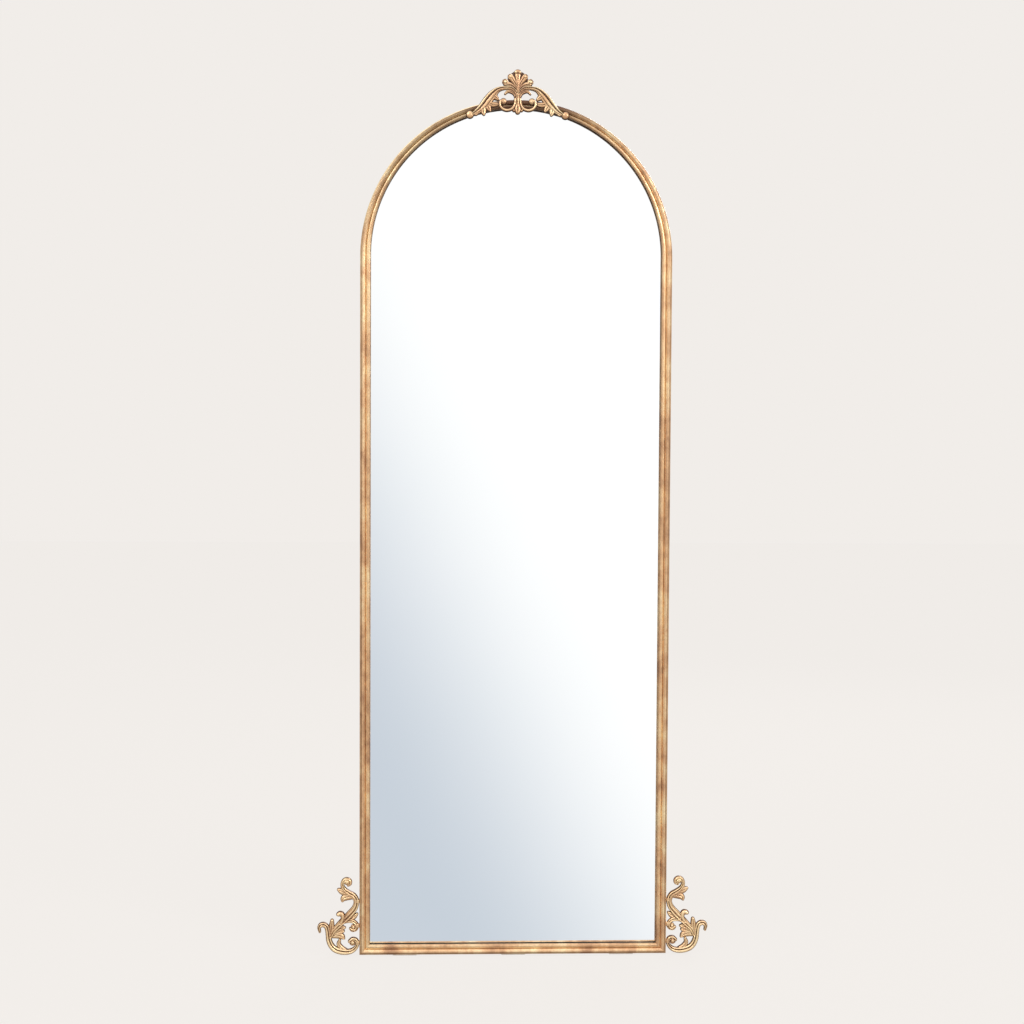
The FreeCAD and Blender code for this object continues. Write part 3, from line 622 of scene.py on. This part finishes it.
class Relief:
    """Heights on a grid in front of a flat back, and how far inside the outline each node lies."""

    def __init__(self, low, high):
        self.x = np.arange(low[0], high[0], GRID)
        self.z = np.arange(low[1], high[1], GRID)
        self.inside = np.full((len(self.x), len(self.z)), -np.inf)
        self.height = np.zeros_like(self.inside)

    def window(self, low, high):
        across = slice(*np.searchsorted(self.x, (low[0] - BEYOND, high[0] + BEYOND)))
        up = slice(*np.searchsorted(self.z, (low[1] - BEYOND, high[1] + BEYOND)))
        return (across, up), *np.meshgrid(self.x[across], self.z[up], indexing="ij")

    def lay(self, place, inside, height):
        """Adds a form: inside the outlines the highest wins, and outside them the nearest."""
        known, there = self.height[place], self.inside[place]
        both = (inside > 0) & (there > 0)
        nearer = inside > there
        self.height[place] = np.where(both, np.maximum(known, height), np.where(nearer, height, known))
        self.inside[place] = np.maximum(there, inside)

    def arm(self, kind, rise, *runs, flip=False):
        line = course(runs)
        if flip:
            line[:, 0] *= -1
        reach = line[:, 2].max() / 2
        place, x, z = self.window(line[:, :2].min(axis=0) - reach, line[:, :2].max(axis=0) + reach)
        half = line[:, 2] / 2
        away = np.hypot(x[..., None] - line[:, 0], z[..., None] - line[:, 1]) / half
        nearest = away.argmin(axis=-1)
        side = np.take_along_axis(away, nearest[..., None], -1)[..., 0]
        ahead = np.gradient(line[:, :2], axis=0)[nearest]
        left = ahead[..., 0] * (z - line[nearest, 1]) - ahead[..., 1] * (x - line[nearest, 0])
        signed = np.minimum(side, 1) * np.sign(-left if flip else left)
        self.lay(place, (1 - side) * half[nearest], rise * np.minimum(face_height(kind, signed), 1))

    def eye(self, radius, rise, groove, middle, flip=False):
        middle_x = -middle[0] if flip else middle[0]
        corner = np.array((radius, radius))
        place, x, z = self.window((middle_x, middle[1]) - corner, (middle_x, middle[1]) + corner)
        away = np.hypot(x - middle_x, z - middle[1])
        dome = np.sqrt(np.maximum(radius**2 - away**2, 0))
        ring = groove * np.exp(-(((away / radius - EYE_RING[0]) / EYE_RING[1]) ** 2))
        self.lay(place, radius - away, rise + EYE_CROWN * (dome - radius) - ring)

    def lug(self, middle_z):
        place, x, z = self.window((0, middle_z - LUG_WIDE / 2), (LUG_LONG, middle_z + LUG_WIDE / 2))
        inside = np.minimum(np.minimum(x, LUG_LONG - x), LUG_WIDE / 2 - abs(z - middle_z))
        self.lay(place, inside, LUG_RISE + np.minimum(inside, LUG_ROUND))

    def hollows(self):
        """0.5 on even ground, less in the hollows, more on the ridges. Each height is set against the
        mean of those round it, smoothed twice along either axis."""
        solid = (self.inside > 0).astype(float)
        total, count = self.height * solid, solid.copy()
        for axis in (0, 1):
            for _ in range(2):
                shifts = range(-HOLLOW_REACH, HOLLOW_REACH + 1)
                total = sum(np.roll(total, shift, axis) for shift in shifts)
                count = sum(np.roll(count, shift, axis) for shift in shifts)
        mean = total / np.maximum(count, 1e-9)
        return np.clip(0.5 + (self.height - mean) / HOLLOW_DEPTH, 0, 1)


def skin(relief):
    """Points, faces and hollow values of the relief's closed skin: face, flat back and side walls."""
    hollow = relief.hollows()
    points, shades, faces, made = [], [], [], {}

    def at(i, j):
        return np.array((relief.x[i], relief.z[j], relief.height[i, j], hollow[i, j]))

    def corner(near, far=None):
        """The front point at a node, or where the outline crosses between two nodes. Its back point
        follows it in the list."""
        key = (near, far)
        if key not in made:
            place = at(*near)
            if far:
                deep, out = relief.inside[near], relief.inside[far]
                place += (at(*far) - place) * deep / (deep - out)
            made[key] = len(points)
            points.extend(((place[0], -place[2], place[1]), (place[0], 0.0, place[1])))
            shades.extend((place[3], BACK_LEVEL))
        return made[key]

    solid = relief.inside > 0
    busy = solid[:-1, :-1] | solid[1:, :-1] | solid[:-1, 1:] | solid[1:, 1:]
    for i, j in zip(*(index.tolist() for index in np.nonzero(busy))):
        around = ((i, j), (i + 1, j), (i + 1, j + 1), (i, j + 1))
        loop, edges = [], []
        for near, far in zip(around, around[1:] + around[:1]):
            if solid[near]:
                loop.append(corner(near))
                if not solid[far]:
                    loop.append(corner(near, far))
                    edges.append(len(loop) - 1)
            elif solid[far]:
                loop.append(corner(far, near))
        faces.append(tuple(loop))
        faces.append(tuple(index + 1 for index in reversed(loop)))
        for edge in edges:
            a, b = loop[edge], loop[(edge + 1) % len(loop)]
            faces.append((b, a, a + 1, b + 1))
    return points, shades, faces


def casting(name, relief, place, flip, replaced, stretch=1.0, patina=0.0):
    """A casting whose flat back stands at a place; flip mirrors it left to right."""
    points, shades, faces = skin(relief)
    # hollow values give painted shade in the hollows and painted highlight on the ridges, partly real
    # patina and worn gilding
    wear_and_shading = [hollow - patina for hollow in shades]
    scale = np.array((-MM if flip else MM, MM, stretch * MM))
    placed = np.array(place) + np.array(points) * scale
    if flip:
        faces = [tuple(reversed(face)) for face in faces]
    made = piece(name, placed.tolist(), faces, GOLD, replaced)
    made.data.attributes.new("wear_and_shading", "FLOAT", "POINT").data.foreach_set("value", wear_and_shading)
    shade(made, angle=50)
    return made


crest = Relief(*CREST_REACH)
for flip in (False, True):
    for row in CREST_ARMS:
        crest.arm(*row, flip=flip)
    for row in CREST_EYES:
        crest.eye(*row, flip=flip)
for row in CREST_MIDDLE:
    crest.arm(*row)
carved = casting("crest_carved", crest, (0, CREST_REAR, ARCH_TOP), False, "crest", patina=CREST_PATINA)
carved.visible_glossy = False

side_scroll = Relief(*SCROLL_REACH)
for row in SCROLL_ARMS:
    side_scroll.arm(*row)
for row in SCROLL_EYES:
    side_scroll.eye(*row)
for height in SCROLL_LUGS:
    side_scroll.lug(height)
for name, side in (("right", 1), ("left", -1)):
    place = (side * HALF_WIDTH, SCROLL_REAR, 0)
    casting(f"{name}_scroll_carved", side_scroll, place, side < 0, f"{name}_scroll", SCROLL_STRETCH)

# ---------------------------------------------------------------- studio

PALE = srgb(241, 237, 233)
FLOOR_REACH = 12.0
FLOOR_GLOW = 0.95  # share of the floor's brightness that is its own, so shadows stay faint
FLOOR_ALBEDO = 0.8

# The room's colours by how high a direction points, and the heights over which each gives way to the
# next.
DARK_BELOW = (0.26, 0.22, 0.18, 1.0)
DIM_SIDES = (0.42, 0.38, 0.33, 1.0)
WHITE_ABOVE = (1.25, 1.25, 1.25, 1.0)
BELOW_TO_SIDES = (-0.6, -0.05)
SIDES_TO_ABOVE = (0.3, 0.8)

# The window ahead of the glass: how straight ahead a direction points where it begins and where it is
# full, and the slant along which it turns from white to grey-blue.
WINDOW_WHITE = (1.06, 1.06, 1.06, 1.0)
WINDOW_GREY = srgb(204, 212, 222)
WINDOW_EDGE = (0.9, 0.945)
SLANT_ACROSS, SLANT_UP, SLANT_START = -6.74, -3.55, 0.15
SLANT_REACH = (-0.1, 1.1)

# Each lamp: its name, place, what it aims at, its size and its power.
LAMPS = (
    ("key", (-2.4, -2.6, 3.2), (0, 0, 0.9), 1.5, 62),
    ("fill", (2.6, -2.4, 2.6), (0, 0, 1.0), 1.2, 72),
    ("rear", (1.5, 3.0, 2.6), (0, 0, 0.9), 1.5, 60),
)

PHOTO_SIZE = 1024
CAMERA_PLACE = (-0.147, -3.537, 1.038)
CAMERA_PITCH, CAMERA_ROLL, CAMERA_YAW = -0.05015, -0.0052, -0.03978
FOCAL_PIXELS = 1844.8
SENSOR = 36.0


def pale_floor():
    mesh = bpy.data.meshes.new("floor")
    corners = [(x * FLOOR_REACH, y * FLOOR_REACH, 0) for x, y in ((-1, -1), (1, -1), (1, 1), (-1, 1))]
    mesh.from_pydata(corners, [], [(0, 1, 2, 3)])
    made = bpy.data.objects.new("floor", mesh)
    bpy.context.scene.collection.objects.link(made)
    paint = Finish("floor_paint", roughness=1.0)
    lit = [channel * (1 - FLOOR_GLOW) * FLOOR_ALBEDO for channel in PALE[:3]]
    paint.shader.inputs["Base Color"].default_value = (*lit, 1.0)
    paint.shader.inputs["Specular IOR Level"].default_value = 0.0
    paint.shader.inputs["Emission Color"].default_value = PALE
    paint.shader.inputs["Emission Strength"].default_value = FLOOR_GLOW
    mesh.materials.append(paint.material)
    made.visible_glossy = False


def studio_world():
    """A room that is white overhead, dim at the sides and dark below, so that the gold models. Right
    in front is a window with a soft slanting change from white to grey-blue, which is what the glass
    shows. Behind the object the camera sees plain pale."""
    world = bpy.data.worlds.new("studio")
    bpy.context.scene.world = world
    world.use_nodes = True
    tree = world.node_tree
    nodes, links = tree.nodes, tree.links
    nodes.clear()
    split = nodes.new("ShaderNodeSeparateXYZ")
    links.new(nodes.new("ShaderNodeTexCoord").outputs["Generated"], split.inputs[0])
    x, y, z = split.outputs

    def math_node(kind, first, second):
        node = nodes.new("ShaderNodeMath")
        node.operation = kind
        put(links, node.inputs[0], first)
        put(links, node.inputs[1], second)
        return node.outputs[0]

    def smooth(value, reach):
        node = nodes.new("ShaderNodeMapRange")
        node.interpolation_type = "SMOOTHSTEP"
        links.new(value, node.inputs["Value"])
        node.inputs["From Min"].default_value, node.inputs["From Max"].default_value = reach
        return node.outputs["Result"]

    across = math_node("MULTIPLY", x, SLANT_ACROSS)
    slant = math_node("ADD", across, math_node("MULTIPLY", z, SLANT_UP))
    slant = math_node("ADD", slant, SLANT_START)
    window = mix_colours(tree, smooth(slant, SLANT_REACH), WINDOW_WHITE, WINDOW_GREY)
    room = mix_colours(tree, smooth(z, BELOW_TO_SIDES), DARK_BELOW, DIM_SIDES)
    room = mix_colours(tree, smooth(z, SIDES_TO_ABOVE), room, WHITE_ABOVE)
    ahead = smooth(math_node("MULTIPLY", y, -1.0), WINDOW_EDGE)
    room = mix_colours(tree, ahead, room, window)
    seen = nodes.new("ShaderNodeLightPath").outputs["Is Camera Ray"]
    background = nodes.new("ShaderNodeBackground")
    links.new(mix_colours(tree, seen, room, PALE), background.inputs["Color"])
    output = nodes.new("ShaderNodeOutputWorld")
    links.new(background.outputs[0], output.inputs["Surface"])


def lamp(name, place, aim, size, power):
    data = bpy.data.lights.new(name, "AREA")
    data.energy = power
    data.size = size
    made = bpy.data.objects.new(name, data)
    made.location = place
    made.rotation_euler = (Vector(aim) - Vector(place)).to_track_quat("-Z", "Y").to_euler()
    bpy.context.scene.collection.objects.link(made)


def photo_camera():
    data = bpy.data.cameras.new("camera")
    data.sensor_width = SENSOR
    data.lens = FOCAL_PIXELS / PHOTO_SIZE * SENSOR
    made = bpy.data.objects.new("camera", data)
    turn = Matrix.Rotation(CAMERA_YAW, 4, "Z") @ Matrix.Rotation(CAMERA_PITCH, 4, "X")
    turn = turn @ Matrix.Rotation(CAMERA_ROLL, 4, "Y") @ Matrix.Rotation(math.pi / 2, 4, "X")
    made.matrix_world = Matrix.Translation(CAMERA_PLACE) @ turn
    bpy.context.scene.collection.objects.link(made)
    bpy.context.scene.camera = made


pale_floor()
studio_world()
for row in LAMPS:
    lamp(*row)
photo_camera()
bpy.context.scene.view_settings.view_transform = "Standard"
